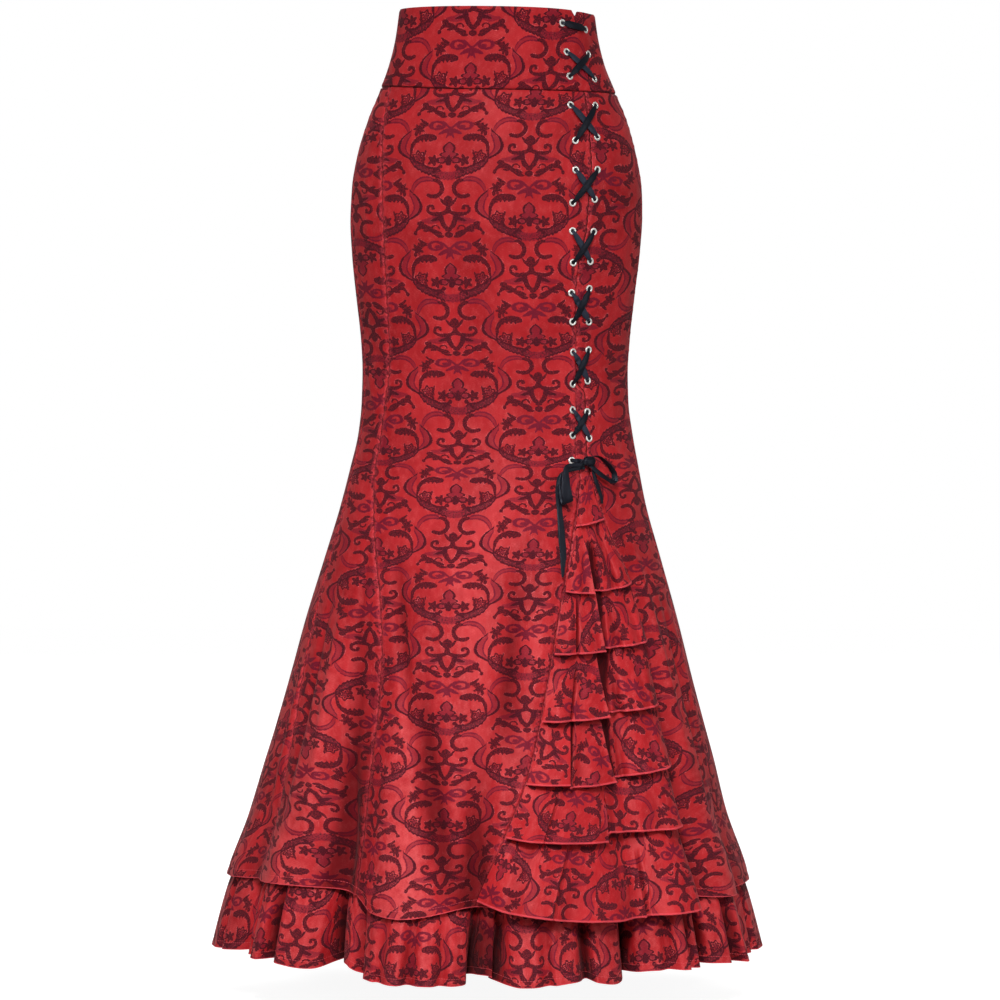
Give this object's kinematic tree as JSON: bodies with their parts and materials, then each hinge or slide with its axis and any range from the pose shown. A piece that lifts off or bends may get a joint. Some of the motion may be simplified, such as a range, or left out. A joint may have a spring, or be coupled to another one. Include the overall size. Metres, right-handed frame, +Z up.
{
  "type": "mermaid fishtail skirt",
  "caption": "Long high-waisted mermaid skirt of red brocade, laced down one side, with a godet of tiered flounces and a pleated hem.",
  "frame": {"origin": "middle of the natural waist, where the wearer's body holds the skirt up, 30 mm below the band's top edge", "axes": "+Z up along the body, the wearer faces -Y, +X is the right of someone who looks at the skirt's front"},
  "size_m": [0.5955, 0.5899, 1.024],
  "materials": {
    "brocade": "satin",
    "eyelet_metal": "polished",
    "satin_lace": "satin"
  },
  "bodies": {
    "root": {"waistband_front": "brocade", "waistband_back": "brocade", "front_left": "brocade", "front_centre": "brocade", "front_right": "brocade", "back_left": "brocade", "back_right": "brocade", "godet_insert": "brocade", "tier_1": "brocade", "tier_2": "brocade", "tier_3": "brocade", "tier_4": "brocade", "tier_5": "brocade", "tier_6": "brocade", "tier_7": "brocade", "hem_ruffle_front": "brocade", "hem_ruffle_back": "brocade", "eyelet_left_01": "eyelet_metal", "eyelet_left_02": "eyelet_metal", "eyelet_left_03": "eyelet_metal", "eyelet_left_04": "eyelet_metal", "eyelet_left_05": "eyelet_metal", "eyelet_left_06": "eyelet_metal", "eyelet_left_07": "eyelet_metal", "eyelet_left_08": "eyelet_metal", "eyelet_left_09": "eyelet_metal", "eyelet_left_10": "eyelet_metal", "eyelet_left_11": "eyelet_metal", "eyelet_left_12": "eyelet_metal", "eyelet_left_13": "eyelet_metal", "eyelet_left_14": "eyelet_metal", "eyelet_left_15": "eyelet_metal", "eyelet_left_16": "eyelet_metal", "eyelet_right_01": "eyelet_metal", "eyelet_right_02": "eyelet_metal", "eyelet_right_03": "eyelet_metal", "eyelet_right_04": "eyelet_metal", "eyelet_right_05": "eyelet_metal", "eyelet_right_06": "eyelet_metal", "eyelet_right_07": "eyelet_metal", "eyelet_right_08": "eyelet_metal", "eyelet_right_09": "eyelet_metal", "eyelet_right_10": "eyelet_metal", "eyelet_right_11": "eyelet_metal", "eyelet_right_12": "eyelet_metal", "eyelet_right_13": "eyelet_metal", "eyelet_right_14": "eyelet_metal", "eyelet_right_15": "eyelet_metal", "eyelet_right_16": "eyelet_metal", "lace_bar": "satin_lace", "lace_cross_1": "satin_lace", "lace_cross_2": "satin_lace", "lace_cross_3": "satin_lace", "lace_cross_4": "satin_lace", "lace_cross_5": "satin_lace", "lace_cross_6": "satin_lace", "lace_cross_7": "satin_lace", "lace_bow": "satin_lace", "lace_tail_left": "satin_lace", "lace_tail_right": "satin_lace"}
  },
  "joints": []
}
